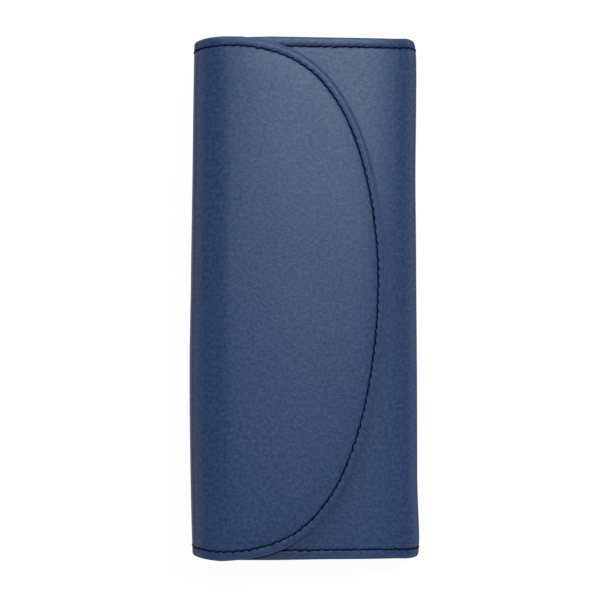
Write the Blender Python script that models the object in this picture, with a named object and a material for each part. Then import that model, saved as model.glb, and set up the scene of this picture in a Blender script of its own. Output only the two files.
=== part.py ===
"""Eyeglasses case: a stiffened leather-look wrap with a D-shaped magnetic flap and folding end gussets.

The case lies on its back panel. X runs across it (mouth and spine on -X, folded side on +X), Y along it
and Z up. One sheet of leather goes front panel, side fold, back panel, spine, flap. Its outer face is
described by an arc-length profile in the XZ plane, and every layer is that profile pushed inwards by a
depth. Lengths are in mm until an object is made, which is in metres.
"""

import math

import bmesh
import bpy
from mathutils import Matrix, Vector

MM = 0.001

# Overall size
WIDTH = 72.0
LENGTH = 164.0
FRONT_SLOPE = 10.9  # degrees: the front panel falls towards the folded side

# Bends of the outer face
FOLD_RADIUS = 8.3
LOWER_RADIUS, LOWER_TURN = 10.0, 80.0
SIDE_TURN = 20.0
UPPER_RADIUS = 10.5
UPPER_TURN = 180.0 - LOWER_TURN - SIDE_TURN + FRONT_SLOPE

# Layers, as depths below the outer face
LEATHER = 1.0
BOARD = (1.1, 2.3)
HEM = 2.3
LINING = (2.4, 3.0)
SHEET = LINING[1]
FLAP_GAP = 0.3  # between the closed flap's lining and the front panel
JOIN = 0.15  # half of the gap left where two bodies meet

# Edges, seams and inserts
BOARD_INSET = 5.0
LINING_INSET = 1.2
SEAM_INSET = 2.9
THREAD_HALF, THREAD_DEPTH = 0.26, (0.06, 0.48)
GROOVE_HALF, GROOVE_DEPTH = 0.45, 0.62
MAGNET_RADIUS, MAGNET_DEPTH = 6.0, (1.2, 2.2)
MAGNET_X, MAGNET_Y = 12.5, 5.8

# Flap outline: a superellipse in plan, about (FLAP_X0, FLAP_Y0), with its own reach towards each end
FLAP_X0, FLAP_Y0 = -40.0, 5.8
STITCH_REACH, STITCH_TOP, STITCH_BOTTOM = 63.1, 73.5, 84.8
EDGE_MARGIN = 3.1
POWER_Y, POWER_TOP, POWER_BOTTOM = 1.845, 4.0, 3.88

# Gussets
GUSSET = 0.7
GUSSET_TAB_END, GUSSET_BEND = 81.4, 78.4
CREASE_Y_MOUTH, CREASE_Y_FOLD = 70.5, 76.5
CREASE_TIP = 0.4  # how far short of the fold's centre each leaf ends

HALF = LENGTH / 2
SLOPE = math.radians(FRONT_SLOPE)
RIGHT, LEFT = WIDTH / 2, -WIDTH / 2


def bend_shift(radius, start, end):
    """How far a clockwise bend moves the outer face, from one heading to another in degrees."""
    a, b = math.radians(start), math.radians(end)
    return radius * (math.sin(a) - math.sin(b)), radius * (math.cos(b) - math.cos(a))


# The spine's radius follows from the height that the closed flap needs over the front panel.
low_dx, low_dz = bend_shift(LOWER_RADIUS, 180, 180 - LOWER_TURN)
up_dx, up_dz = bend_shift(UPPER_RADIUS, 180 - LOWER_TURN - SIDE_TURN, -FRONT_SLOPE)
SIDE_BULGE = 1 - math.sin(math.radians(180 - LOWER_TURN))
SIDE_RISE = 2 * math.sin(math.radians(SIDE_TURN / 2))
FOLD_END = (RIGHT - FOLD_RADIUS * (1 - math.sin(SLOPE)), FOLD_RADIUS * (1 + math.cos(SLOPE)))


def flap_start(side_radius):
    x = LEFT + side_radius * SIDE_BULGE + up_dx
    return x, low_dz + side_radius * SIDE_RISE + up_dz


def front_height(x):
    return FOLD_END[1] + (FOLD_END[0] - x) * math.tan(SLOPE)


def solve_side_radius():
    low, high = 10.0, 90.0
    for _ in range(60):
        radius = (low + high) / 2
        x, z = flap_start(radius)
        if z < front_height(x) + (SHEET + FLAP_GAP) / math.cos(SLOPE):
            low = radius
        else:
            high = radius
    return radius


SIDE_RADIUS = solve_side_radius()
FLAP_START = flap_start(SIDE_RADIUS)
BACK_X0 = LEFT + SIDE_RADIUS * SIDE_BULGE - low_dx
MOUTH = (
    FLAP_START[0] - (SHEET + FLAP_GAP) * math.sin(SLOPE),
    FLAP_START[1] - (SHEET + FLAP_GAP) * math.cos(SLOPE),
)
FRONT_LENGTH = math.hypot(FOLD_END[0] - MOUTH[0], FOLD_END[1] - MOUTH[1])
BACK_LENGTH = RIGHT - FOLD_RADIUS - BACK_X0

# (radius or None, length or turn in degrees), walked clockwise from the mouth edge of the front panel
SEGMENTS = [
    (None, FRONT_LENGTH),
    (FOLD_RADIUS, 180 - FRONT_SLOPE),
    (None, BACK_LENGTH),
    (LOWER_RADIUS, LOWER_TURN),
    (SIDE_RADIUS, SIDE_TURN),
    (UPPER_RADIUS, UPPER_TURN),
    (None, 80.0),
]


def walk():
    """Each segment's start (arc length, point, heading in radians), and the stations all layers share."""
    starts, stations = [], [0.0]
    s, x, z, heading = 0.0, MOUTH[0], MOUTH[1], -SLOPE
    for radius, amount in SEGMENTS:
        starts.append((s, x, z, heading, radius))
        if radius is None:
            x, z = x + amount * math.cos(heading), z + amount * math.sin(heading)
            s += amount
            stations.append(s)
            continue
        turn = math.radians(amount)
        steps = max(2, round(amount / (5 if radius > 20 else 11.5)))
        stations += [s + radius * turn * (i + 1) / steps for i in range(steps)]
        x += radius * (math.sin(heading) - math.sin(heading - turn))
        z += radius * (math.cos(heading - turn) - math.cos(heading))
        s += radius * turn
        heading -= turn
    return starts, stations


STARTS, STATIONS = walk()
S_FRONT_END, S_BACK, S_LOWER, S_SIDE, S_UPPER, S_FLAP = (start[0] for start in STARTS[1:])
S_FOLD = (S_FRONT_END + S_BACK) / 2
S_SPINE = S_LOWER + LOWER_RADIUS * math.radians(LOWER_TURN / 2)
S_LID = S_UPPER + UPPER_RADIUS * math.radians(UPPER_TURN / 2)


def face(s):
    """The point of the outer face at arc length s, and its inward normal."""
    start = [item for item in STARTS if item[0] <= s + 1e-9][-1] if s > 0 else STARTS[0]
    s0, x, z, heading, radius = start
    if radius is None:
        x, z = x + (s - s0) * math.cos(heading), z + (s - s0) * math.sin(heading)
    else:
        turned = heading - (s - s0) / radius
        x += radius * (math.sin(heading) - math.sin(turned))
        z += radius * (math.cos(turned) - math.cos(heading))
        heading = turned
    return (x, z), (math.sin(heading), -math.cos(heading))


def at(s, y, depth):
    (x, z), (nx, nz) = face(s)
    return Vector((x + nx * depth, y, z + nz * depth))


def between(first, last):
    return [first] + [s for s in STATIONS if first + 0.2 < s < last - 0.2] + [last]


def plan_x(s):
    """X of the flap at arc length s, as if its bend were unrolled into its flat part."""
    return FLAP_START[0] + (s - S_FLAP) * math.cos(SLOPE)


def flap_y(s, margin, side):
    """Y of the flap's stitch curve moved outwards by margin, towards end side (+1 or -1)."""
    reach, power = (STITCH_TOP, POWER_TOP) if side > 0 else (STITCH_BOTTOM, POWER_BOTTOM)
    w = (plan_x(s) - FLAP_X0) / (STITCH_REACH + margin * 1.06)
    return FLAP_Y0 + side * (reach + margin) * max(0.0, 1 - w**power) ** (1 / POWER_Y)


def flap_s(y, margin):
    """Arc length at which the flap's stitch curve, moved outwards by margin, passes y."""
    side = 1 if y >= FLAP_Y0 else -1
    reach, power = (STITCH_TOP, POWER_TOP) if side > 0 else (STITCH_BOTTOM, POWER_BOTTOM)
    u = min(1.0, abs(y - FLAP_Y0) / (reach + margin))
    x = FLAP_X0 + (STITCH_REACH + margin * 1.06) * (1 - u**POWER_Y) ** (1 / power)
    return S_FLAP + (x - FLAP_START[0]) / math.cos(SLOPE)


# Scene


def clear():
    for obj in list(bpy.data.objects):
        bpy.data.objects.remove(obj, do_unlink=True)


def material(name, colour, roughness, metallic=0.0):
    mat = bpy.data.materials.new(name)
    mat.use_nodes = True
    shader = mat.node_tree.nodes["Principled BSDF"]
    shader.inputs["Base Color"].default_value = (*colour, 1)
    shader.inputs["Roughness"].default_value = roughness
    shader.inputs["Metallic"].default_value = metallic
    return mat


def solid(name, rings, mat, hinge=None, cutter=False):
    """A closed body lofted through rings of points of the same count, with its faces turned outwards."""
    bm = bmesh.new()
    rows = [[bm.verts.new(Vector(p) * MM) for p in ring] for ring in rings]
    count = len(rows[0])
    for near, far in zip(rows, rows[1:]):
        for i in range(count):
            j = (i + 1) % count
            bm.faces.new((near[i], near[j], far[j], far[i]))
    bm.faces.new(list(reversed(rows[0])))
    bm.faces.new(rows[-1])
    bmesh.ops.recalc_face_normals(bm, faces=bm.faces)
    if bm.calc_volume(signed=True) < 0:
        bmesh.ops.reverse_faces(bm, faces=bm.faces)
    mesh = bpy.data.meshes.new(name)
    bm.to_mesh(mesh)
    bm.free()
    mesh.shade_smooth()
    mesh.set_sharp_from_angle(angle=math.radians(35))
    obj = bpy.data.objects.new(name, mesh)
    bpy.context.scene.collection.objects.link(obj)
    if mat:
        mesh.materials.append(mat)
    if hinge:
        obj.parent = hinge
        obj.matrix_parent_inverse = Matrix.Translation(-hinge.location)
    if cutter:
        obj.hide_render = True
        obj.display_type = "WIRE"
    return obj


def cut(obj, *cutters):
    for cutter in cutters:
        modifier = obj.modifiers.new("Cut " + cutter.name, "BOOLEAN")
        modifier.operation = "DIFFERENCE"
        modifier.solver = "EXACT"
        modifier.object = cutter


def section(stations, y, depths):
    near, far = depths
    return [at(s, y, near) for s in stations] + [at(s, y, far) for s in reversed(stations)]


def panel(name, first, last, half, depths, mat, hinge=None, cutter=False):
    """A layer of the wrap between two arc lengths, straight along Y."""
    stations = between(first, last)
    return solid(name, [section(stations, y, depths) for y in (-half, 0.0, half)], mat, hinge, cutter)


def flap_layer(name, first, half, margin, depths, mat, hinge=None, cutter=False):
    """A layer of the flap, from arc length first to the D-shaped edge, margin outside the stitch curve."""
    ys = []
    for side in (-1, 1):
        reach = abs(side * half - FLAP_Y0)
        steps = 16
        ys += [FLAP_Y0 + side * reach * (1 - (1 - i / steps) ** 2.1) for i in range(steps + 1)]
    ys = sorted(set(round(y, 6) for y in ys))
    rings = []
    for y in ys:
        last = max(flap_s(y, margin), S_FLAP + 0.6)
        stations = between(first, S_FLAP) + [S_FLAP + (last - S_FLAP) * t for t in (0.5, 1.0)]
        rings.append(section(stations, y, depths))
    return solid(name, rings, mat, hinge, cutter)


def strip(name, path, half, depths, mat, hinge=None, cutter=False):
    """A band of constant width that follows a path of (s, y) points on the outer face."""
    rings = []
    for i, (s, y) in enumerate(path):
        (s0, y0), (s1, y1) = path[max(i - 1, 0)], path[min(i + 1, len(path) - 1)]
        long = math.hypot(s1 - s0, y1 - y0)
        ds, dy = -(y1 - y0) / long * half, (s1 - s0) / long * half
        near, far = depths
        rings.append(
            [
                at(s + ds, y + dy, near),
                at(s - ds, y - dy, near),
                at(s - ds, y - dy, far),
                at(s + ds, y + dy, far),
            ]
        )
    return solid(name, rings, mat, hinge, cutter)


def longer(path, extra):
    """The path with both of its ends moved outwards along it."""
    moved = list(path)
    for end, near in ((0, 1), (-1, -2)):
        (s0, y0), (s1, y1) = path[end], path[near]
        share = extra / math.hypot(s1 - s0, y1 - y0)
        moved[end] = (s0 + (s0 - s1) * share, y0 + (y0 - y1) * share)
    return moved


def seam(name, path, leather, mat, hinge=None):
    """A line of thread sunk in a groove of the leather."""
    groove = longer(path, 0.2)
    cut(leather, strip(name + "_groove", groove, GROOVE_HALF, (-0.4, GROOVE_DEPTH), None, None, True))
    return strip(name, path, THREAD_HALF, THREAD_DEPTH, mat, hinge)


def straight(first, last, y):
    return [(s, y) for s in between(first, last)]


def disc(name, centre, normal, radius, height, mat, hinge=None, cutter=False):
    across = Vector((0, 1, 0))
    along = normal.cross(across)
    rings = []
    for end in (-height / 2, height / 2):
        middle = centre + normal * end
        turns = [i * math.tau / 32 for i in range(32)]
        rings.append([middle + (across * math.cos(a) + along * math.sin(a)) * radius for a in turns])
    return solid(name, rings, mat, hinge, cutter)


def hinge_at(name, s):
    empty = bpy.data.objects.new(name, None)
    empty.empty_display_size = 0.02
    empty.location = at(s, 0, 0) * MM
    bpy.context.scene.collection.objects.link(empty)
    return empty


def gusset_leaf(name, end, mirrored, mat, hinge=None):
    """Half of a V-folded gusset: a tab on the panel's lining, and a leaf from the seam to the crease.

    The back half is lofted along the back panel and round the fold. The front half is its mirror image in
    the plane that bisects the two panels.
    """
    meet = FOLD_END[0] + FOLD_END[1] / math.tan(SLOPE)  # X where the two outer faces would meet
    tilt = SLOPE / 2
    rings = []
    for s in [S_FOLD + 0.6] + [s for s in STATIONS if S_FOLD + 1 < s <= S_BACK + 0.01] + [S_LOWER - 1.2]:
        (x, _), _ = face(s)
        if s > S_BACK + 0.1:
            share = (RIGHT - FOLD_RADIUS - x) / (RIGHT - FOLD_RADIUS - MOUTH[0])
            deep = (meet - x) * math.tan(tilt) - JOIN
        else:
            share, deep = 0.0, FOLD_RADIUS - CREASE_TIP
        crease = CREASE_Y_FOLD + (CREASE_Y_MOUTH - CREASE_Y_FOLD) * share
        low = SHEET + 0.12
        long = math.hypot(GUSSET_BEND - crease, deep - low)
        miter = GUSSET * math.tan(math.acos((GUSSET_BEND - crease) / long) / 2)
        wide = GUSSET * long / (deep - low)
        outline = [
            (GUSSET_TAB_END, low),
            (GUSSET_BEND, low),
            (crease, deep),
            (crease + wide, deep),
            (GUSSET_BEND + miter, low + GUSSET),
            (GUSSET_TAB_END, low + GUSSET),
        ]
        rings.append([at(s, end * y, depth) for y, depth in outline])
    if mirrored:
        flip = math.pi - tilt
        cos, sin = math.cos(2 * flip), math.sin(2 * flip)
        rings = [
            [
                Vector((meet + (p.x - meet) * cos + p.z * sin, p.y, (p.x - meet) * sin - p.z * cos))
                for p in ring
            ]
            for ring in rings
        ]
    return solid(name, rings, mat, hinge)


clear()

leather_blue = material("navy_leather", (0.035, 0.065, 0.16), 0.55)
lining_blue = material("lining_fabric", (0.06, 0.07, 0.10), 0.95)
board_grey = material("grey_board", (0.32, 0.30, 0.27), 0.9)
foam_white = material("spine_foam", (0.72, 0.72, 0.70), 0.9)
thread_navy = material("navy_thread", (0.008, 0.012, 0.035), 0.7)
gusset_blue = material("gusset_leather", (0.030, 0.055, 0.14), 0.6)
magnet_steel = material("magnet_nickel", (0.62, 0.60, 0.57), 0.3, 1.0)

front_hinge = hinge_at("front_hinge", S_FOLD)
spine_hinge = hinge_at("spine_hinge", S_SPINE)
flap_hinge = hinge_at("flap_hinge", S_LID)

END_Y = HALF - SEAM_INSET
BOARD_HALF = HALF - BOARD_INSET
POCKET_HALF = BOARD_HALF + 0.2
POCKET = (LEATHER, HEM + 1)
LINING_HALF = HALF - LINING_INSET

# Back panel, with half of the side fold and half of the lower corner
back_leather = panel("back_leather", S_FOLD + JOIN, S_SPINE - JOIN, HALF, (0, HEM), leather_blue)
cut(back_leather, panel("back_pocket", S_BACK + 0.8, S_LOWER - 0.8, POCKET_HALF, POCKET, None, None, True))
panel("back_board", S_BACK + 1.0, S_LOWER - 1.0, BOARD_HALF, BOARD, board_grey)
panel("back_lining", S_FOLD + 0.3, S_SPINE - 0.3, LINING_HALF, LINING, lining_blue)
for label, end in (("top", 1), ("bottom", -1)):
    path = straight(S_FOLD + 0.4, S_SPINE - 0.4, end * END_Y)
    seam("back_seam_" + label, path, back_leather, thread_navy)
    gusset_leaf("back_gusset_" + label, end, False, gusset_blue)

# Front panel, with the other half of the side fold
front_leather = panel("front_leather", 0, S_FOLD - JOIN, HALF, (0, HEM), leather_blue, front_hinge)
board_start, board_end = BOARD_INSET, S_FRONT_END - 1.0
cut(
    front_leather,
    panel("front_pocket", board_start - 0.2, board_end + 0.2, POCKET_HALF, POCKET, None, None, True),
)
front_board = panel("front_board", board_start, board_end, BOARD_HALF, BOARD, board_grey, front_hinge)
panel("front_lining", LINING_INSET, S_FOLD - 0.3, LINING_HALF, LINING, lining_blue, front_hinge)
for label, end in (("top", 1), ("bottom", -1)):
    path = straight(SEAM_INSET + 1.0, S_FOLD - 0.4, end * END_Y)
    seam("front_seam_" + label, path, front_leather, thread_navy, front_hinge)
    gusset_leaf("front_gusset_" + label, end, True, gusset_blue, front_hinge)
mouth_path = [(SEAM_INSET, -END_Y + 1.0), (SEAM_INSET, END_Y - 1.0)]
seam("mouth_seam", mouth_path, front_leather, thread_navy, front_hinge)

# Spine
spine_start, spine_end = S_SPINE + JOIN, S_LID - JOIN
spine_leather = panel("spine_leather", spine_start, spine_end, HALF, (0, HEM), leather_blue, spine_hinge)
cut(spine_leather, panel("spine_pocket", S_SPINE + 3.8, S_LID - 3.8, POCKET_HALF, POCKET, None, None, True))
panel("spine_foam", S_SPINE + 4.0, S_LID - 4.0, BOARD_HALF, BOARD, foam_white, spine_hinge)
panel("spine_lining", S_SPINE + 0.3, S_LID - 0.3, LINING_HALF, LINING, lining_blue, spine_hinge)
for label, end in (("top", 1), ("bottom", -1)):
    path = straight(S_SPINE + 0.4, S_LID - 0.4, end * END_Y)
    seam("spine_seam_" + label, path, spine_leather, thread_navy, spine_hinge)

# Flap
flap_start, flap_margin = S_LID + JOIN, EDGE_MARGIN - BOARD_INSET
flap_leather = flap_layer("flap_leather", flap_start, HALF, EDGE_MARGIN, (0, HEM), leather_blue, flap_hinge)
cut(
    flap_leather,
    flap_layer("flap_pocket", S_FLAP - 0.2, POCKET_HALF, flap_margin + 0.2, POCKET, None, None, True),
)
flap_board = flap_layer("flap_board", S_FLAP, BOARD_HALF, flap_margin, BOARD, board_grey, flap_hinge)
lining_margin = EDGE_MARGIN - LINING_INSET
flap_layer("flap_lining", S_LID + 0.3, LINING_HALF, lining_margin, LINING, lining_blue, flap_hinge)
seam_top, seam_bottom = [], []
for i in range(34):
    s = S_LID + 0.4 + (S_FLAP + (FLAP_X0 + STITCH_REACH - FLAP_START[0]) / math.cos(SLOPE) - S_LID - 0.4) * (
        1 - (1 - i / 33) ** 2.0
    )
    seam_top.append((s, flap_y(s, 0, 1)))
    seam_bottom.append((s, flap_y(s, 0, -1)))
seam("flap_seam", seam_bottom[:-1] + list(reversed(seam_top)), flap_leather, thread_navy, flap_hinge)

# Magnet pair, each in a hole of its board
inward = Vector((-math.sin(SLOPE), 0, -math.cos(SLOPE)))
s_magnet = S_FLAP + (MAGNET_X - FLAP_START[0]) / math.cos(SLOPE)
depth = (MAGNET_DEPTH[0] + MAGNET_DEPTH[1]) / 2
thick = MAGNET_DEPTH[1] - MAGNET_DEPTH[0]
for label, below, board, hinge in (
    ("flap", 0, flap_board, flap_hinge),
    ("front", SHEET + FLAP_GAP, front_board, front_hinge),
):
    centre = at(s_magnet, MAGNET_Y, depth + below)
    cut(board, disc(label + "_magnet_hole", centre, inward, MAGNET_RADIUS + 0.2, 6, None, None, True))
    disc(label + "_magnet", centre, inward, MAGNET_RADIUS, thick, magnet_steel, hinge)
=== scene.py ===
"""Looks of the eyeglasses case: leather skins, lining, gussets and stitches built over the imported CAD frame."""

import math

import bmesh
import bpy
import numpy as np
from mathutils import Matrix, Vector
from mathutils.geometry import delaunay_2d_cdt


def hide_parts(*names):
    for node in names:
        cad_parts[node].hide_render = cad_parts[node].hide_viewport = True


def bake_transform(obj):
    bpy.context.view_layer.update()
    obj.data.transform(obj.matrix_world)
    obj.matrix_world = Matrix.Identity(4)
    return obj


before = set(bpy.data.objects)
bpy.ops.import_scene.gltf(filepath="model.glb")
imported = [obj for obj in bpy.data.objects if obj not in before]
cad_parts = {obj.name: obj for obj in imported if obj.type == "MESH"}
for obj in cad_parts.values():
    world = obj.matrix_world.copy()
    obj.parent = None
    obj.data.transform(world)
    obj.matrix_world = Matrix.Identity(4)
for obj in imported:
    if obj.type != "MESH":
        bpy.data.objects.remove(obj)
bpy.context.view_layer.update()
MM = 0.001

# ---------------------------------------------------------------- the wrap's profile, as in the CAD (mm)

WIDTH, LENGTH, FRONT_SLOPE = 72.0, 164.0, 10.9
FOLD_RADIUS, LOWER_RADIUS, LOWER_TURN = 8.3, 10.0, 80.0
SIDE_TURN, UPPER_RADIUS = 20.0, 10.5
UPPER_TURN = 180.0 - LOWER_TURN - SIDE_TURN + FRONT_SLOPE
SHEET, FLAP_GAP = 3.0, 0.3
HALF = LENGTH / 2
SLOPE = math.radians(FRONT_SLOPE)
SEAM = 3.0  # a seam's distance from the edge
PITCH = 2.7  # length of a stitch
LINING_INSET = 1.2  # how far the lining stops short of the edge
BOARD_INSET = 5.0  # and the boards and foam

# the flap's curved seam: a superellipse about (FLAP_X0, FLAP_Y0) that reaches further down than up
FLAP_X0, FLAP_Y0 = -40.0, 5.8
STITCH_REACH, STITCH_TOP, STITCH_BOTTOM = 63.1, 73.5, 84.8
POWER_Y, POWER_TOP, POWER_BOTTOM = 1.845, 4.0, 3.88
EDGE_MARGIN = 3.1  # from that seam to the flap's edge


def bend_shift(radius, start, end):
    """Travel (x, z) round a bend between two headings in degrees."""
    a, b = math.radians(start), math.radians(end)
    return radius * (math.sin(a) - math.sin(b)), radius * (math.cos(b) - math.cos(a))


def solve_profile():
    """Rows (s, x, z, heading, bend radius) where the wrap's outer face starts to bend or straighten.

    The slanted side's radius is the one that lands the flap just above the front panel."""
    low_dx, low_dz = bend_shift(LOWER_RADIUS, 180, 180 - LOWER_TURN)
    up_dx, up_dz = bend_shift(UPPER_RADIUS, 180 - LOWER_TURN - SIDE_TURN, -FRONT_SLOPE)
    bulge = 1 - math.sin(math.radians(180 - LOWER_TURN))
    rise = 2 * math.sin(math.radians(SIDE_TURN / 2))
    fold_end = (WIDTH / 2 - FOLD_RADIUS * (1 - math.sin(SLOPE)), FOLD_RADIUS * (1 + math.cos(SLOPE)))
    low, high = 10.0, 90.0
    for _ in range(60):
        radius = (low + high) / 2
        x, z = -WIDTH / 2 + radius * bulge + up_dx, low_dz + radius * rise + up_dz
        front = fold_end[1] + (fold_end[0] - x) * math.tan(SLOPE)
        low, high = (radius, high) if z < front + (SHEET + FLAP_GAP) / math.cos(SLOPE) else (low, radius)
    mouth = (x - (SHEET + FLAP_GAP) * math.sin(SLOPE), z - (SHEET + FLAP_GAP) * math.cos(SLOPE))
    back_x0 = -WIDTH / 2 + radius * bulge - low_dx
    segments = [
        (None, math.hypot(fold_end[0] - mouth[0], fold_end[1] - mouth[1])),
        (FOLD_RADIUS, math.radians(180 - FRONT_SLOPE)),
        (None, WIDTH / 2 - FOLD_RADIUS - back_x0),
        (LOWER_RADIUS, math.radians(LOWER_TURN)),
        (radius, math.radians(SIDE_TURN)),
        (UPPER_RADIUS, math.radians(UPPER_TURN)),
        (None, 90.0),
    ]
    rows, s, (px, pz), heading = [], 0.0, mouth, -SLOPE
    for bend, amount in segments:
        rows.append((s, px, pz, heading, bend or 0.0))
        if bend is None:
            px, pz, s = px + amount * math.cos(heading), pz + amount * math.sin(heading), s + amount
        else:
            px += bend * (math.sin(heading) - math.sin(heading - amount))
            pz += bend * (math.cos(heading - amount) - math.cos(heading))
            s, heading = s + bend * amount, heading - amount
    return np.array(rows), (x, z)


ROWS, FLAP_START = solve_profile()
S_FRONT_END, S_BACK, S_LOWER, S_SIDE, S_UPPER, S_FLAP = ROWS[1:, 0]
S_FOLD = (S_FRONT_END + S_BACK) / 2
S_SPINE = S_LOWER + LOWER_RADIUS * math.radians(LOWER_TURN / 2)
S_LID = S_UPPER + UPPER_RADIUS * math.radians(UPPER_TURN / 2)
S_SEAT = S_LOWER - 6.0  # the back's skin meets the spine's here
S_MID = (S_SPINE + S_LID) / 2  # the two spine skins meet here


def face(s):
    """Points (x, z) of the outer face at arc lengths s, and the inward normals."""
    s = np.asarray(s, float)
    row = ROWS[np.clip(np.searchsorted(ROWS[:, 0], s, side="right") - 1, 0, len(ROWS) - 1)]
    ds, heading, bend = s - row[..., 0], row[..., 3], row[..., 4]
    straight = bend == 0
    safe = np.where(straight, 1.0, bend)
    turned = heading - np.where(straight, 0.0, ds / safe)
    x = row[..., 1] + np.where(straight, ds * np.cos(heading), safe * (np.sin(heading) - np.sin(turned)))
    z = row[..., 2] + np.where(straight, ds * np.sin(heading), safe * (np.cos(turned) - np.cos(heading)))
    return x, z, np.sin(turned), -np.cos(turned)


def smooth(t):
    """0 up to t = 0, 1 from t = 1, with soft ends between."""
    t = np.clip(t, 0, 1)
    return t * t * (3 - 2 * t)


# the flap and the front panel arch by these slopes where they start, over this length (mm)
FLAP_ARCH, FRONT_ARCH, ARCH_FADE = 0.17, 0.19, 14.0
FLAP_RUN = (WIDTH / 2 - FOLD_RADIUS * (1 - math.sin(SLOPE)) - FLAP_START[0]) / math.cos(SLOPE)


def overhang(s, y, x, nx):
    """How far the ends stand out past the nominal length (mm): the outer layers a little more than the inner."""
    front = 1 - smooth(0.5 * (s - S_FRONT_END) / (S_BACK - S_FRONT_END))
    front = np.where(s > S_BACK, 0.5 * (1 - smooth((s - S_BACK) / 40)), front)
    flare = smooth((x - 2) / 30)
    lid = smooth((s - S_UPPER) / (S_FLAP - S_UPPER))
    clear = smooth((x + 24) / 16)
    upper, lower = 0.24 + 0.50 * clear + 0.12 * flare, 0.16 + 0.25 * clear + 0.27 * flare
    end = front * np.where(y > 0, upper, lower) + 0.27 * lid - 0.85 * np.clip(nx, 0, 1) ** 1.5
    # the corner where the front panel turns into the side fold
    return end + np.where(y > 0, 0.36, 0.26) * np.exp(-(((s - S_FRONT_END - 5) / 3.8) ** 2))


def side_bow(s, y, nx):
    """Bulge of the two long sides (mm): the spine bows, and the folded side flares at its lower end."""
    above, below = np.maximum(y + 25, 0), np.maximum(-25 - y, 0)
    spine = 0.62 - 0.0135 * above * smooth(above / 30) - 0.72 * (below / 50) ** 2
    fold = -0.30 * np.exp(-(((y - 38) / 17) ** 2)) + 0.30 * smooth((10 - y) / 50) + 0.72 * smooth((-y - 56) / 24)
    fold = fold - 0.35 * np.exp(-(HALF - y) / 2.5)
    return spine * np.clip(nx, 0, 1) ** 2 + fold * np.clip(-nx, 0, 1) ** 2 * (s < S_LOWER)


def flap_rise(s, middle):
    """Arch of the flap from the spine's upper corner to its edge (mm)."""
    t = np.clip((s - S_UPPER) / (S_FLAP - S_UPPER), 0, 1)
    past = np.maximum(s - S_FLAP, 0)
    arch = FLAP_ARCH * (1 - 0.3 * middle)
    return arch * ((S_FLAP - S_UPPER) * (t**6 - t**5) + past * np.exp(-past / ARCH_FADE))


def front_rise(s, middle):
    """Arch of the front panel before it turns into the side fold, and of the flap that lies on it (mm)."""
    t = np.clip((s - S_FRONT_END) / 10, 0, 1)
    past = np.maximum(s - S_FLAP, 0)
    run = np.maximum(np.where(s > S_FLAP, FLAP_RUN - past, S_FRONT_END - s), 0)
    share = np.where(s > S_FLAP, smooth(past / 20), 1.0)
    return FRONT_ARCH * (1 + 0.25 * middle) * (share * run * np.exp(-run / ARCH_FADE) - 10 * t * (1 - t) ** 2)


def place(s, y, depth):
    """Row-frame points (mm) of the wrap at arc length s, Y and depth, with the slack of real leather."""
    s, y, depth = np.broadcast_arrays(np.asarray(s, float), np.asarray(y, float), np.asarray(depth, float))
    x, z, nx, nz = face(s)
    middle = np.exp(-(((y - 5) / 55) ** 2))
    lift = side_bow(s, y, nx) + flap_rise(s, middle) + front_rise(s, middle)
    wave = 0.03 * np.sin(s * 0.21 + y * 0.083) * np.sin(y * 0.057 - s * 0.11 + 1.3)
    depth = depth - lift + wave
    return np.stack([x + nx * depth, y + overhang(s, y, x, nx) * y / HALF, z + nz * depth], -1)


# ---------------------------------------------------------------- layer cross-sections (mm)

ROUND = 0.6  # radius of a leather edge
HEM = 4.75  # width of the turned hem
HEM_STEP = 0.2  # width of the step at its end
CORNER = 2.3  # radius of the mouth's corners
LEATHER_INNER, BOARD_OUTER, BOARD_INNER = 2.3, 1.1, 2.3  # depths of faces below the outer face
LINING_OUTER, LINING_INNER = 2.38, 3.0
# where the leather is thinned for a board or the foam
POCKETS = [
    (HEM, S_FRONT_END - 0.8),
    (S_BACK + 0.8, S_LOWER - 0.8),
    (S_SPINE + 3.8, S_LID - 3.8),
    (S_FLAP - 0.2, 999),
]


def rounding(edge, radius):
    """How far a rounded edge falls away at a distance from it."""
    t = np.clip(radius - edge, 0, radius)
    return radius - np.sqrt(np.maximum(radius**2 - t**2, 0))


def flapness(s):
    """0 on the spine, 1 on the flap."""
    return smooth((s - S_LID) / 9)


def skin_outer(edge, s):
    """Depth of the leather's outer face at a distance from its edge: rolled lip, seam groove, padded panel."""
    flap = flapness(s)
    lip = -0.04 * np.exp(-(((edge - 1.7) / 0.8) ** 2))
    groove = 0.08 * np.exp(-(((edge - SEAM) / 0.38) ** 2)) + 0.03 * np.exp(-(((edge - SEAM) / 1.2) ** 2))
    thin = 0.30 * flap * (1 - smooth((edge - 0.8) / 9.0))
    pad = 0.25 * flap * (1 - np.exp(-np.minimum(edge, 40) / 13))
    return rounding(edge, ROUND + 0.7 * flap) + lip + groove + thin - pad + fold_sink(s, edge)


def fold_sink(s, edge):
    """How far the side fold's ends pull in."""
    return 0.6 * np.exp(-(((s - S_FOLD) / 13) ** 4)) * np.exp(-edge / 2.1)


def skin_inner(edge, s):
    """Depth of the leather's inner face: the turned hem, then the single sheet over the board."""
    pocket = 0.0
    for first, last in POCKETS:
        pocket = np.maximum(pocket, smooth((s - first) / HEM_STEP) * smooth((last - s) / HEM_STEP))
    return LEATHER_INNER - rounding(edge, ROUND) - 1.25 * smooth((edge - HEM) / HEM_STEP) * pocket


def level(depth):
    """A face at one depth all over."""
    return lambda edge, s: np.full(np.shape(edge), depth)


def lining_inner(edge, s):
    """Depth of the lining's inner face: rounded at its edge, and pressed in along the seam."""
    t = np.clip(edge / 0.7, 0, 1)
    pressed = 0.12 * np.exp(-(((edge - SEAM + LINING_INSET) / 0.5) ** 2))
    return LINING_INNER - (LINING_INNER - LINING_OUTER) * (1 - np.sqrt(1 - (1 - t) ** 2)) - pressed


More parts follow.
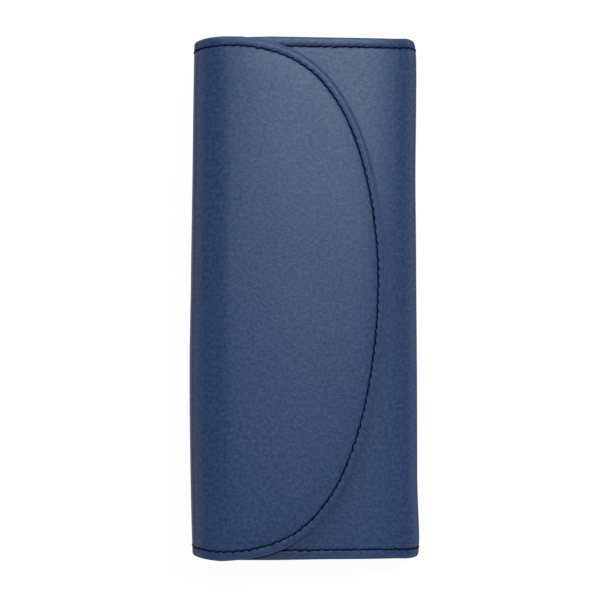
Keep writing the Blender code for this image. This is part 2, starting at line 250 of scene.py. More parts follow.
# ---------------------------------------------------------------- mesh helpers

FAR_FROM_RIM = 20.0  # the rim field's largest value


def add_mesh(name, points_mm, faces, material, uv=None, fields=(), normals=None):
    """A smooth-shaded mesh object; uv, fields and normals are given per point."""
    mesh = bpy.data.meshes.new(name)
    mesh.from_pydata((np.asarray(points_mm) * MM).tolist(), [], [list(map(int, f)) for f in faces])
    mesh.polygons.foreach_set("use_smooth", np.ones(len(mesh.polygons), bool))
    if uv is not None:
        layer = mesh.uv_layers.new(name="UVMap")
        loops = np.zeros(len(mesh.loops), np.int32)
        mesh.loops.foreach_get("vertex_index", loops)
        layer.data.foreach_set("uv", np.asarray(uv, np.float32)[loops].ravel())
    for field, values in dict(fields).items():
        attribute = mesh.attributes.new(field, "FLOAT", "POINT")
        attribute.data.foreach_set("value", np.asarray(values, np.float32))
    mesh.update()
    if normals is not None:
        mesh.normals_split_custom_set_from_vertices(np.asarray(normals).tolist())
    obj = bpy.data.objects.new(name, mesh)
    bpy.context.scene.collection.objects.link(obj)
    mesh.materials.append(material)
    return obj


def merge(obj):
    """Joins coincident points and turns the faces outwards."""
    mesh = bmesh.new()
    mesh.from_mesh(obj.data)
    bmesh.ops.remove_doubles(mesh, verts=mesh.verts, dist=0.00002)
    bmesh.ops.recalc_face_normals(mesh, faces=mesh.faces)
    mesh.to_mesh(obj.data)
    mesh.free()


def cut_normals(s, y, half, depth_of, sign):
    """Normals where a layer was cut into pieces: out of the case for sign +1, into it for -1."""
    step = 0.05

    def at(s, y):
        return place(s, y, depth_of(np.maximum(half - np.abs(y), 0), s))

    n = np.cross(at(s + step, y) - at(s - step, y), at(s, y + step) - at(s, y - step))
    n /= np.maximum(np.linalg.norm(n, axis=-1, keepdims=True), 1e-9)
    _, _, nx, nz = face(s)
    inward = np.stack([nx, 0 * nx, nz], -1)
    return -n * np.sign((n * inward).sum(-1, keepdims=True)) * sign


# distances from an edge at which its lip, seam groove and hem are sampled
FINE = [0.0, 0.04, 0.14, 0.3, 0.5, 0.75, 1.05, 1.4, 1.75, 2.1, 2.4]
FINE += [2.6, 2.8, 3.0, 3.2, 3.4, 3.65, 4.0, 4.4, HEM, HEM + HEM_STEP, 6.2]


def unique_sorted(values, gap=1e-6):
    """Sorted values without near-equal ones."""
    out = []
    for v in sorted(values):
        if not out or v - out[-1] > gap:
            out.append(v)
    return np.array(out)


def graded(low, high, low_edge, high_edge, step, stops=()):
    """Positions from low to high: fine next to a real edge, and about step apart elsewhere."""
    values = [low + f for f in FINE] if low_edge else []
    values += [high - f for f in FINE] if high_edge else []
    start, end = low + FINE[-1] * low_edge, high - FINE[-1] * high_edge
    stops = unique_sorted([start, end, *[e for e in stops if start < e < end]])
    for a, b in zip(stops, stops[1:]):
        n = max(1, math.ceil((b - a) / step(0.5 * (a + b))))
        values += list(np.linspace(a, b, n + 1))
    return unique_sorted(values)


def y_step(_):
    """Sampling across the wrap."""
    return 3.2


def s_step(s):
    """Sampling along the wrap: fine round the bends."""
    bends = ((S_FRONT_END - 1, S_BACK + 1), (S_LOWER - 1, S_SIDE + 1), (S_UPPER - 1, S_FLAP + 1))
    return 0.7 if any(a < s < b for a, b in bends) else 1.6 if S_SIDE < s < S_UPPER else 2.6


STOPS = [S_FRONT_END, S_BACK, S_LOWER, S_SIDE, S_UPPER, S_FLAP]
STOPS += [v for first, last in POCKETS for v in (first, first + HEM_STEP, last - HEM_STEP, last)]


def shell(name, rows_s, rows_y, edge, is_rim, top_faces, outer, inner, along, material, cuts, half):
    """A layer from one flat pattern: its outer and inner faces meet at the rim, halfway.

    cuts: rows of points where the layer goes on in another piece, whose normals have to match."""
    total = len(rows_s)
    top = place(rows_s, rows_y, outer(edge, rows_s))
    under = place(rows_s, rows_y, inner(edge, rows_s))
    top[is_rim] = 0.5 * (top[is_rim] + under[is_rim])
    low = np.where(is_rim, np.arange(total), np.arange(total) + total)
    faces = [list(f)[::-1] for f in top_faces] + [[low[i] for i in f] for f in top_faces]
    normals = np.zeros((2 * total, 3))
    for ids in cuts:
        s, y = rows_s[ids], rows_y[ids]
        normals[ids] = cut_normals(s, y, half, outer, 1)
        normals[np.asarray(ids) + total] = cut_normals(s, y, half, inner, -1)
    used = np.unique(np.concatenate([np.asarray(f) for f in faces]))
    remap = np.full(2 * total, -1)
    remap[used] = np.arange(len(used))
    uv = np.tile(np.stack([rows_s, rows_y], -1) / 100, (2, 1))[used]
    fields = {"rim": np.tile(np.minimum(edge, FAR_FROM_RIM), 2)[used], "along": np.tile(along, 2)[used]}
    points = np.concatenate([top, under])[used]
    return add_mesh(name, points, [remap[f] for f in faces], material, uv, fields, normals[used])


def band(name, low, high, low_edge, half, outer, inner, material, corner=CORNER, high_edge=False):
    """A layer of the wrap between two arc lengths, low and high.

    It has real edges at Y = +-half, and at low and high where low_edge and high_edge say so."""
    ss = graded(low, high, low_edge, high_edge, s_step, STOPS)
    ys = graded(-half, half, True, True, y_step)
    S, Y = np.meshgrid(ss, ys, indexing="ij")
    from_low = S - low if low_edge else np.full_like(S, 99.0)
    from_end = half - np.abs(Y)
    edge = np.minimum(from_low, from_end)
    along = np.where(from_low < from_end, (Y + HALF - SEAM) * MOUTH_SCALE, S - SEAM)
    if low_edge:
        # wrap the square corner of the pattern round a quarter circle
        inside = (from_low < corner) & (from_end < corner)
        u, v = 1 - from_low / corner, 1 - from_end / corner
        u, v = u * np.sqrt(np.maximum(1 - v**2 / 2, 0)), v * np.sqrt(np.maximum(1 - u**2 / 2, 0))
        S = np.where(inside, low + corner * (1 - u), S)
        Y = np.where(inside, np.sign(Y) * (half - corner * (1 - v)), Y)
        edge = np.where(inside, corner * (1 - np.sqrt(u**2 + v**2)), edge)
    if high_edge:
        edge = np.minimum(edge, high - S)
    edge = np.maximum(edge, 0)
    n, m = S.shape
    ids = np.arange(n * m).reshape(n, m)
    is_rim = np.zeros((n, m), bool)
    is_rim[:, [0, -1]] = True
    is_rim[0, :] |= low_edge
    is_rim[-1, :] |= high_edge
    quads = np.stack([ids[:-1, :-1], ids[:-1, 1:], ids[1:, 1:], ids[1:, :-1]], -1).reshape(-1, 4)
    cuts = [row for row, real in ((ids[-1, 2:-2], high_edge), (ids[0, 2:-2], low_edge)) if not real]
    flat = [S.ravel(), Y.ravel(), edge.ravel(), is_rim.ravel(), quads]
    return shell(name, *flat, outer, inner, along.ravel(), material, cuts, half)


# ---------------------------------------------------------------- the flap's outline in (s, y)


def outline(margin, start, step, half):
    """The stitch curve moved outwards by margin, from its -Y end to its +Y end, as points step apart."""
    sides = []
    x = FLAP_X0 + STITCH_REACH * (1 - (1 - np.linspace(0, 1, 700)) ** 2.4)
    w = (x - FLAP_X0) / STITCH_REACH
    s = S_FLAP + (x - FLAP_START[0]) / math.cos(SLOPE)
    for side, reach, power in ((-1, STITCH_BOTTOM, POWER_BOTTOM), (1, STITCH_TOP, POWER_TOP)):
        y = FLAP_Y0 + side * reach * np.maximum(0, 1 - w**power) ** (1 / POWER_Y)
        sides.append(np.stack([s, y], -1)[::-side])
    line = np.concatenate([sides[0][:-1], sides[1]])
    tangent = np.gradient(line, axis=0)
    tangent /= np.linalg.norm(tangent, axis=1, keepdims=True)
    line = line + margin * np.stack([tangent[:, 1], -tangent[:, 0]], -1)
    line = line[line[:, 0] > start + 0.05]
    line = np.concatenate([[[start, line[0, 1]]], line, [[start, line[-1, 1]]]])
    line[:, 1] = np.clip(line[:, 1], -half, half)
    length = np.concatenate([[0], np.cumsum(np.linalg.norm(np.diff(line, axis=0), axis=1))])
    at = np.linspace(0, length[-1], max(2, round(length[-1] / step)) + 1)
    return np.stack([np.interp(at, length, line[:, 0]), np.interp(at, length, line[:, 1])], -1), length[-1]


def moved_in(line, distance, start):
    """The flap's edge line moved inwards, with both its ends kept at start."""
    tangent = np.gradient(line, axis=0)
    tangent[0], tangent[-1] = (1, 0), (-1, 0)
    tangent /= np.linalg.norm(tangent, axis=1, keepdims=True)
    loop = line + distance * np.stack([-tangent[:, 1], tangent[:, 0]], -1)
    loop[0, 0] = loop[-1, 0] = start
    loop[1:-1, 0] = np.maximum(loop[1:-1, 0], start + 0.01)
    return loop


def nearest(points, line):
    """Distance of each point to a polyline."""
    best = np.full(len(points), 1e9)
    for a, b in zip(line[:-1], line[1:]):
        ab = b - a
        t = np.clip(((points - a) @ ab) / (ab @ ab), 0, 1)
        best = np.minimum(best, np.linalg.norm(points - a - t[:, None] * ab, axis=1))
    return best


def flap_layer(name, start, outer, inner, inset, material, closed=False):
    """A layer of the flap: rows that follow its D-shaped edge inwards, then a triangulated middle."""
    half = HALF - inset
    line, _ = outline(EDGE_MARGIN - inset, start, 1.0, half)
    m, k = len(line), len(FINE)
    loops = [moved_in(line, d, start) for d in FINE]
    last = loops[-1]
    ring = [tuple(p) for p in last]
    inner_ys = np.arange(-78, 79, 3.0)
    ring += [(start, y) for y in reversed(inner_ys) if last[0, 1] + 1.5 < y < last[-1, 1] - 1.5]
    grid_s = graded(start, last[:, 0].max(), False, False, s_step, STOPS)[1:]
    grid = np.array([(s, y) for s in grid_s for y in inner_ys])
    d = nearest(grid, line)
    keep = d > FINE[-1] + 1.0
    # points past the D's edge are far from it too, so keep only those between its two sides
    turn = m // 2
    low_y = np.interp(grid[:, 0], line[: turn + 1, 0], line[: turn + 1, 1])
    high_y = np.interp(grid[:, 0], line[turn:, 0][::-1], line[turn:, 1][::-1])
    keep &= (grid[:, 1] > low_y) & (grid[:, 1] < high_y) & (grid[:, 0] < line[:, 0].max())
    flat = [Vector(p) for p in ring + [tuple(p) for p in grid[keep]]]
    edges = [(i, (i + 1) % len(ring)) for i in range(len(ring))]
    verts, _, tris, origin, _, _ = delaunay_2d_cdt(flat, edges, [list(range(len(ring)))], 1, 1e-7)
    index, extra = {}, []
    for i, source in enumerate(origin):
        on_ring = [j for j in source if j < m]
        index[i] = (k - 1) * m + on_ring[0] if on_ring else k * m + len(extra)
        if not on_ring:
            extra.append(tuple(verts[i]))
    extra = np.array(extra)
    rows = np.concatenate(loops + [extra])
    edge = np.concatenate([np.repeat(np.array(FINE), m), np.maximum(nearest(extra, line), FINE[-1])])
    faces = []
    for j in range(k - 1):
        i = np.arange(m - 1) + j * m
        faces += np.stack([i, i + 1, i + m + 1, i + m], -1).tolist()
    fill = [[index[i] for i in t] for t in tris]
    area = sum(np.cross(rows[b] - rows[a], rows[c] - rows[a]) for a, b, c in fill)
    faces += fill if area > 0 else [t[::-1] for t in fill]
    faces = [f[::-1] for f in faces]
    is_rim = np.arange(len(rows)) < m
    at_start = np.abs(rows[:, 0] - start) < 0.001
    rows[at_start, 0] = start
    if closed:
        is_rim |= at_start
    along = np.concatenate([np.tile(flap_along(np.linspace(0, 1, m)), k), np.zeros(len(extra))])
    border = np.flatnonzero(at_start & (edge > 0.3) & (not closed))
    return shell(
        name, rows[:, 0], rows[:, 1], edge, is_rim, faces, outer, inner, along, material, [border], half
    )


# the mouth and the flap take a whole number of stitches
MOUTH_STITCHES = round((LENGTH - 2 * SEAM) / PITCH)
MOUTH_SCALE = MOUTH_STITCHES * PITCH / (LENGTH - 2 * SEAM)
FLAP_EDGE, FLAP_LENGTH = outline(EDGE_MARGIN, S_MID, 1.0, HALF)
FLAP_PATH = moved_in(FLAP_EDGE, SEAM, S_MID)
FLAP_STITCHED = round((2 * (S_MID - SEAM) + FLAP_LENGTH) / PITCH) * PITCH - 2 * (S_MID - SEAM)


def flap_along(share):
    """Stitch coordinate round the flap's edge, in step with that of the wrap's ends."""
    return S_MID - SEAM + share * FLAP_STITCHED


# ---------------------------------------------------------------- thread

rng = np.random.default_rng(7)
THREAD_RADIUS = 0.34


def stitches(name, paths):
    """Lockstitches, each a short tube that rises out of one hole and dives into the next.

    paths: (function from stitch coordinate to (s, y), first hole, last hole, depth function, side);
    side is 1 for the outer face and -1 for the inner."""
    rings, spokes = 9, 8
    t = np.linspace(-1, 1, rings)
    phi = np.linspace(0, math.tau, spokes, endpoint=False)
    points, faces, uv = [], [], []
    for curve, first, last, depth_of, side in paths:
        for hole in np.arange(first, last):
            a = (hole + 0.5 + t * 0.49) * PITCH
            c = curve(a)
            tangent = curve(a + 0.05) - curve(a - 0.05)
            tangent /= np.linalg.norm(tangent, axis=1, keepdims=True)
            across = np.stack([-tangent[:, 1], tangent[:, 0]], -1)
            lean, shift, rise, fat = rng.normal(0, 1, 4)
            sway = (0.19 + 0.07 * lean) * t + 0.05 * shift
            size = THREAD_RADIUS * (1 + 0.06 * fat) * (1 - 0.22 * np.abs(t) ** 4)
            dive = 0.42 * np.abs(t) ** 8 - 0.03 * rise
            depth = depth_of(c[:, 0]) + side * dive
            offset = sway[:, None] + size[:, None] * np.cos(phi)
            s = c[:, 0:1] + across[:, 0:1] * offset
            y = c[:, 1:2] + across[:, 1:2] * offset
            d = depth[:, None] - side * size[:, None] * np.sin(phi)
            base = sum(len(p) for p in points)
            points.append(place(s, y, d).reshape(-1, 3))
            ids = base + np.arange(rings * spokes).reshape(rings, spokes)
            nxt = np.roll(ids, -1, axis=1)
            quads = np.stack([ids[:-1], nxt[:-1], nxt[1:], ids[1:]], -1).reshape(-1, 4)
            tube = quads.tolist() + [ids[0][::-1].tolist(), ids[-1].tolist()]
            faces += [f[::side] for f in tube]
            uv.append(np.stack(np.broadcast_arrays(a[:, None] / 100, phi / math.tau * 0.016), -1).reshape(-1, 2))
    return add_mesh(name, np.concatenate(points), faces, THREAD, np.concatenate(uv))


def end_curve(sign):
    """The seam along one end of the wrap."""
    return lambda a: np.stack([a + SEAM, np.full_like(a, sign * (HALF - SEAM))], -1)


def mouth_curve(a):
    """The seam along the front panel's mouth edge."""
    return np.stack([np.full_like(a, SEAM), a / MOUTH_SCALE - HALF + SEAM], -1)


def flap_curve(a):
    """The seam round the flap, and on along the spine's ends where it starts and stops."""
    share = (a - (S_MID - SEAM)) / FLAP_STITCHED
    at = np.linspace(0, 1, len(FLAP_PATH))
    s = np.interp(share, at, FLAP_PATH[:, 0])
    y = np.interp(share, at, FLAP_PATH[:, 1])
    before, after = share < 0, share > 1
    s = np.where(before, S_MID + share * FLAP_STITCHED, s)
    s = np.where(after, S_MID - (share - 1) * FLAP_STITCHED, s)
    return np.stack([s, y], -1)


def thread_depth(s):
    """Depth of the thread's centre line in the outer groove."""
    return skin_outer(SEAM, s) + 0.05


def inner_depth(depth):
    """The same on an inner face."""
    return lambda s: np.full_like(s, depth)


# ---------------------------------------------------------------- materials


class Nodes:
    """A material's node tree, built link by link."""

    def __init__(self, name, **settings):
        self.material = bpy.data.materials.new(name)
        self.material.use_nodes = True
        self.tree = self.material.node_tree
        self.shader = self.tree.nodes["Principled BSDF"]
        for socket, value in settings.items():
            self.shader.inputs[socket.replace("_", " ")].default_value = value

    def node(self, kind, **inputs):
        made = self.tree.nodes.new("ShaderNode" + kind)
        for key, value in inputs.items():
            if key.startswith("p_"):
                setattr(made, key[2:], value)
            else:
                self.join(value, made.inputs[int(key[1:]) if key[0] == "i" and key[1:].isdigit() else key])
        return made

    def join(self, value, socket):
        if isinstance(value, bpy.types.Node):
            value = value.outputs[0]
        if isinstance(value, bpy.types.NodeSocket):
            self.tree.links.new(value, socket)
        else:
            socket.default_value = value

    def math(self, operation, a, b=0.0, c=0.0):
        return self.node("Math", p_operation=operation, i0=a, i1=b, i2=c)

    def mix(self, factor, a, b):
        made = self.tree.nodes.new("ShaderNodeMix")
        made.data_type = "RGBA"
        for value, socket in ((factor, 0), (a, 6), (b, 7)):
            self.join(value, made.inputs[socket])
        return made.outputs[2]

    def noise(self, vector, scale, detail=2.0, roughness=0.5):
        return self.node("TexNoise", Vector=vector, Scale=scale, Detail=detail, Roughness=roughness)

    def ramp(self, value, low, high, a, b):
        made = self.node("MapRange", Value=value)
        for key, v in (("From Min", low), ("From Max", high), ("To Min", a), ("To Max", b)):
            made.inputs[key].default_value = v
        return made

    def bell(self, value, centre, width):
        """1 at centre, falling smoothly to 0 a width away."""
        gap = self.math("ABSOLUTE", self.math("SUBTRACT", value, centre))
        made = self.ramp(gap, 0.0, width, 1.0, 0.0)
        made.interpolation_type = "SMOOTHSTEP"
        return made

    def bump(self, height, distance, strength=1.0, normal=None):
        made = self.node("Bump", Height=height, Distance=distance, Strength=strength)
        if normal is not None:
            self.join(normal, made.inputs["Normal"])
        return made

    def set(self, socket, value):
        self.join(value, self.shader.inputs[socket])


def with_alpha(colour, factor=1.0):
    return (*(factor * c for c in colour), 1.0)


def leather(name, base, deep, light, roughness, grain):
    """Fine-grained coated leather: base and deep in broad patches, light on the grain's crowns.

    Two point fields of a mesh place its marks: rim, the distance from the edge, and along, the stitch
    coordinate. grain is the pebbles' scale."""
    n = Nodes(name)
    uv = n.node("UVMap").outputs[0]
    rim = n.node("Attribute", p_attribute_name="rim").outputs["Fac"]
    along = n.node("Attribute", p_attribute_name="along").outputs["Fac"]
    blotch = n.noise(uv, 2.2, 3.0, 0.55)
    speckle = n.noise(uv, 82.0, 3.0, 0.6)
    cells = n.node("TexVoronoi", p_feature="DISTANCE_TO_EDGE", Vector=uv, Scale=grain)
    creases = n.ramp(cells, 0.0, 0.22, 0.0, 1.0)
    colour = n.mix(n.ramp(blotch, 0.35, 0.65, 0.0, 1.0), with_alpha(deep), with_alpha(base))
    colour = n.mix(n.ramp(speckle, 0.38, 0.68, 0.0, 1.0), colour, with_alpha(light))
    colour = n.mix(n.math("MULTIPLY", n.math("SUBTRACT", 1.0, creases), 0.35), colour, with_alpha(deep, 0.55))
    # lighter along the edge: partly rubbed wear, partly a painted highlight on the rolled lip
    edge_wear_and_highlight = n.math("MULTIPLY", n.bell(rim, 0.35, 1.1), n.ramp(n.noise(uv, 30.0, 3.0), 0.35, 0.7, 0.15, 0.8))
    colour = n.mix(edge_wear_and_highlight, colour, with_alpha(light))
    # the gloss fades where the grain is seen side-on
    facing = n.node("LayerWeight", Blend=0.5).outputs["Facing"]
    gloss = n.ramp(facing, 0.25, 0.62, 0.36, 0.02)
    # needle holes along the seam, painted near-black, with a painted contact shadow round the thread
    turn = n.math("FRACT", n.math("ADD", n.math("DIVIDE", along, PITCH), 0.5))
    phase = n.math("ABSOLUTE", n.math("SUBTRACT", turn, 0.5))
    hole = n.math("MULTIPLY", n.bell(phase, 0.0, 0.30), n.bell(rim, SEAM, 0.6))
    n.set("Base Color", n.mix(hole, colour, with_alpha((0.002, 0.0035, 0.012))))
    n.set("Roughness", n.ramp(n.noise(uv, 60.0, 3.0), 0.3, 0.7, roughness - 0.02, roughness + 0.04))
    # the hem beside the seam is pressed dull
    pressed = n.math("MULTIPLY_ADD", n.bell(rim, SEAM - 0.7, 1.0), -0.5, 1.0)
    pressed = n.math("MULTIPLY", pressed, n.math("SUBTRACT", 1.0, hole))
    n.set("Specular IOR Level", n.math("MULTIPLY", gloss, pressed))
    n.set("Specular Tint", with_alpha((0.80, 0.94, 1.0)))
    height = n.math("ADD", n.math("MULTIPLY", creases, 0.42), n.math("MULTIPLY", speckle, 0.8))
    pucker = n.math("MULTIPLY", n.bell(phase, 0.0, 0.5), n.bell(rim, SEAM, 1.5))
    first = n.bump(n.math("MULTIPLY", pucker, -1.0), 0.00005, 0.9)
    n.set("Normal", n.bump(height, 0.000047, 0.9, first))
    return n.material


def suede(name, base, light):
    """Short-napped lining: soft patches of nap brushed one way or the other."""
    n = Nodes(name, Roughness=0.93, Sheen_Weight=0.35, Sheen_Roughness=0.4)
    uv = n.node("UVMap").outputs[0]
    nap = n.noise(uv, 7.0, 4.0, 0.6)
    fuzz = n.noise(uv, 260.0, 3.0, 0.7)
    colour = n.mix(n.ramp(nap, 0.4, 0.62, 0.0, 1.0), with_alpha(base), with_alpha(light))
    colour = n.mix(n.ramp(fuzz, 0.35, 0.7, 0.0, 0.5), colour, with_alpha(light, 1.5))
    n.set("Base Color", colour)
    n.set("Normal", n.bump(fuzz, 0.00012, 0.8))
    return n.material


def thread(name, dark, light):
    """Twisted thread; its UVs run along and round it."""
    n = Nodes(name, Roughness=0.8, Specular_IOR_Level=0.06)
    uv = n.node("UVMap").outputs[0]
    slanted = n.node("Mapping", Vector=uv, Rotation=(0, 0, 0.7))
    twist = n.node("TexWave", Vector=slanted, Scale=130.0, Distortion=0.6).outputs["Fac"]
    n.set("Base Color", n.mix(n.ramp(twist, 0.2, 0.9, 0.0, 1.0), with_alpha(dark), with_alpha(light)))
    n.set("Normal", n.bump(twist, 0.00005, 0.9))
    return n.material


def pulp(name, base, fleck, scale):
    """Board or foam: fibrous or cellular speckle in object space."""
    n = Nodes(name, Roughness=0.92)
    place_at = n.node("TexCoord").outputs["Object"]
    fibres = n.noise(place_at, scale, 5.0, 0.7)
    cells = n.node("TexVoronoi", Vector=place_at, Scale=scale * 1.5)
    n.set("Base Color", n.mix(n.ramp(fibres, 0.35, 0.65, 0.0, 1.0), with_alpha(base), with_alpha(fleck)))
    n.set("Normal", n.bump(n.math("ADD", fibres, cells), 0.0001, 0.7))
    return n.material


def nickel(name):
    """Brushed plating."""
    n = Nodes(name, Metallic=1.0)
    place_at = n.node("TexCoord").outputs["Object"]
    brush = n.noise(n.node("Mapping", Vector=place_at, Scale=(40.0, 900.0, 900.0)), 1.0, 3.0)
    shade = n.ramp(brush, 0.3, 0.7, 0.0, 1.0)
    n.set("Base Color", n.mix(shade, with_alpha((0.50, 0.48, 0.45)), with_alpha((0.66, 0.64, 0.60))))
    n.set("Roughness", n.ramp(brush, 0.3, 0.7, 0.22, 0.38))
    n.set("Normal", n.bump(brush, 0.00001, 0.4))
    return n.material


NAVY_COLOURS = (0.0175, 0.041, 0.120), (0.0145, 0.036, 0.108), (0.040, 0.072, 0.165)
NAVY = leather("navy_leather", *NAVY_COLOURS, 0.385, 170.0)
GUSSET_COLOURS = (0.024, 0.042, 0.098), (0.020, 0.035, 0.086), (0.036, 0.058, 0.12)
GUSSET_NAVY = leather("gusset_leather", *GUSSET_COLOURS, 0.55, 150.0)
LINING_NAVY = suede("lining_suede", (0.018, 0.022, 0.036), (0.026, 0.031, 0.048))
THREAD = thread("navy_thread", (0.0014, 0.0028, 0.011), (0.0030, 0.0060, 0.026))
BOARD_GREY = pulp("grey_board", (0.30, 0.28, 0.25), (0.40, 0.38, 0.34), 900.0)
FOAM_WHITE = pulp("spine_foam", (0.68, 0.68, 0.65), (0.80, 0.80, 0.78), 1500.0)
NICKEL = nickel("magnet_nickel")

# ---------------------------------------------------------------- the skins and the lining


def metres(*point):
    return tuple(c * MM for c in point)


def zone(hinge, across, reach):
    """The two points between which a piece bends: reach (mm) either side of a hinge (x, z) along across."""
    x, z, dx, dz = *hinge, *across
    return metres(x - dx * reach, 0, z - dz * reach), metres(x + dx * reach, 0, z + dz * reach)


# bodies on either side of each bend, and where the bend starts and ends
FOLD_ZONE = ("back", "front", metres(36.0, 0, 2.5), metres(36.95, 0, 12.45))
SPINE_ZONE = ("back", "spine", *zone((-32.005, 2.34), (-0.766, 0.643), 9.5))
FLAP_ZONE = ("spine", "flap", *zone((-31.039, 28.233), (0.8236, 0.5671), 10.0))


def finish_piece(obj, where, slot, *nodes):
    """Bakes a piece's transform and hides the CAD nodes it stands for; where and slot are not used."""
    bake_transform(obj)
    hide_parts(*nodes)


skin = skin_outer, skin_inner
wrap_skin = band("wrap_skin", 0, S_SEAT, True, HALF, *skin, NAVY)
finish_piece(wrap_skin, FOLD_ZONE, "navy_leather", "back_leather", "front_leather")
corner_skin = band("corner_skin", S_SEAT, S_MID, False, HALF, *skin, NAVY)
finish_piece(corner_skin, SPINE_ZONE, "navy_leather", "back_leather", "spine_leather")
flap_skin = flap_layer("flap_skin", S_MID, *skin, 0.0, NAVY)
finish_piece(flap_skin, FLAP_ZONE, "navy_leather", "flap_leather", "spine_leather")

cloth = level(LINING_OUTER), lining_inner
LINED = HALF - LINING_INSET
wrap_lining = band("wrap_lining", LINING_INSET, S_SEAT, True, LINED, *cloth, LINING_NAVY, 1.6)
finish_piece(wrap_lining, FOLD_ZONE, "lining_fabric", "back_lining", "front_lining")
corner_lining = band("corner_lining", S_SEAT, S_MID, False, LINED, *cloth, LINING_NAVY)
finish_piece(corner_lining, SPINE_ZONE, "lining_fabric", "back_lining", "spine_lining")
flap_lining = flap_layer("flap_lining_cloth", S_MID, *cloth, LINING_INSET, LINING_NAVY)
finish_piece(flap_lining, FLAP_ZONE, "lining_fabric", "flap_lining", "spine_lining")

# ---------------------------------------------------------------- boards, foam and magnets


def magnet(name, start):
    """A disc in a board, following its arch. start is the arc length where the panel starts."""
    x, y, radius, top, bottom, spokes = 12.5, FLAP_Y0, 6.0, 1.2, 2.2, 48
    turns = np.linspace(0, math.tau, spokes, endpoint=False)
    # (share of the radius, share of the thickness): rounded where the faces meet the side
    rings = [(0.0, 0), (0.5, 0), (0.94, 0), (1.0, 0.12), (1.0, 0.88), (0.94, 1), (0.5, 1), (0.0, 1)]
    points = []
    for share, level_share in rings:
        s = start + (x - FLAP_START[0]) / math.cos(SLOPE) + radius * share * np.cos(turns)
        depth = top + (bottom - top) * level_share
        points.append(place(s, y + radius * share * np.sin(turns), depth))
    ids = np.arange(len(rings) * spokes).reshape(-1, spokes)
    nxt = np.roll(ids, -1, axis=1)
    faces = np.stack([ids[:-1], ids[1:], nxt[1:], nxt[:-1]], -1).reshape(-1, 4).tolist()
    disc = add_mesh(name, np.concatenate(points), faces, NICKEL)
    merge(disc)
    return disc


def stiff_strip(name, low, high, material):
    """A closed board or foam strip inside the wrap between two arc lengths."""
    return band(name, low, high, True, HALF - BOARD_INSET, *board, material, 0.5, True)


board = level(BOARD_OUTER), level(BOARD_INNER)
flap_stiffener = flap_layer("flap_stiffener", S_FLAP, *board, BOARD_INSET, BOARD_GREY, True)
finish_piece(flap_stiffener, FLAP_ZONE, "grey_board", "flap_board")
finish_piece(magnet("flap_magnet_disc", S_FLAP), FLAP_ZONE, "magnet_nickel", "flap_magnet")
finish_piece(magnet("front_magnet_disc", 0.0), FOLD_ZONE, "magnet_nickel", "front_magnet")
front_stiffener = stiff_strip("front_stiffener", BOARD_INSET, S_FRONT_END - 1, BOARD_GREY)
finish_piece(front_stiffener, FOLD_ZONE, "grey_board", "front_board")
foam_lower = stiff_strip("foam_lower", S_SPINE + 4, S_MID, FOAM_WHITE)
finish_piece(foam_lower, SPINE_ZONE, "spine_foam", "spine_foam")
foam_upper = stiff_strip("foam_upper", S_MID, S_LID - 4, FOAM_WHITE)
finish_piece(foam_upper, FLAP_ZONE, "spine_foam", "spine_foam")

# ---------------------------------------------------------------- the stitches

# inside, the thread lies on the lining, or on the gusset's tab where that is sewn in
ON_LINING, ON_TAB = inner_depth(3.02), inner_depth(3.83)
# the last holes before the wrap's pieces meet, and the number round the flap
SEAT_HOLE = math.floor((S_SEAT - SEAM) / PITCH)
MID_HOLE = math.floor((S_MID - SEAM) / PITCH)
FLAP_HOLES = round((2 * (S_MID - SEAM) + FLAP_STITCHED) / PITCH)
ends = [end_curve(1), end_curve(-1)]

wrap_runs = [(end, 0, SEAT_HOLE, thread_depth, 1) for end in ends]
wrap_runs += [(mouth_curve, 0, MOUTH_STITCHES, thread_depth, 1)]
wrap_runs += [(end, 1, SEAT_HOLE, ON_TAB, -1) for end in ends]
wrap_runs += [(mouth_curve, 1, MOUTH_STITCHES - 1, ON_LINING, -1)]
wrap_stitches = stitches("wrap_stitches", wrap_runs)
wrap_seams = "back_seam_top", "back_seam_bottom", "front_seam_top", "front_seam_bottom", "mouth_seam"
finish_piece(wrap_stitches, FOLD_ZONE, "navy_thread", *wrap_seams)

corner_runs = [(end, SEAT_HOLE, MID_HOLE, thread_depth, 1) for end in ends]
corner_runs += [(end, SEAT_HOLE, MID_HOLE, ON_LINING, -1) for end in ends]
corner_stitches = stitches("corner_stitches", corner_runs)
finish_piece(corner_stitches, SPINE_ZONE, "navy_thread", "spine_seam_top", "spine_seam_bottom")

flap_runs = [(flap_curve, MID_HOLE, FLAP_HOLES - MID_HOLE, thread_depth, 1)]
flap_runs += [(flap_curve, MID_HOLE, FLAP_HOLES - MID_HOLE, ON_LINING, -1)]
flap_stitches = stitches("flap_stitches", flap_runs)
finish_piece(flap_stitches, FLAP_ZONE, "navy_thread", "flap_seam")

# ---------------------------------------------------------------- gussets

GUSSET = 0.7  # thickness
TAB_END, BEND = 81.4, 78.4  # the sewn tab reaches from the first Y to the second
CREASE_MOUTH, CREASE_FOLD = 70.5, 76.5  # Y of the crease at the mouth and at the side fold
MEET = ROWS[1, 1] + ROWS[1, 2] / math.tan(SLOPE)  # X where the planes of the front and the back meet
TILT = SLOPE / 2


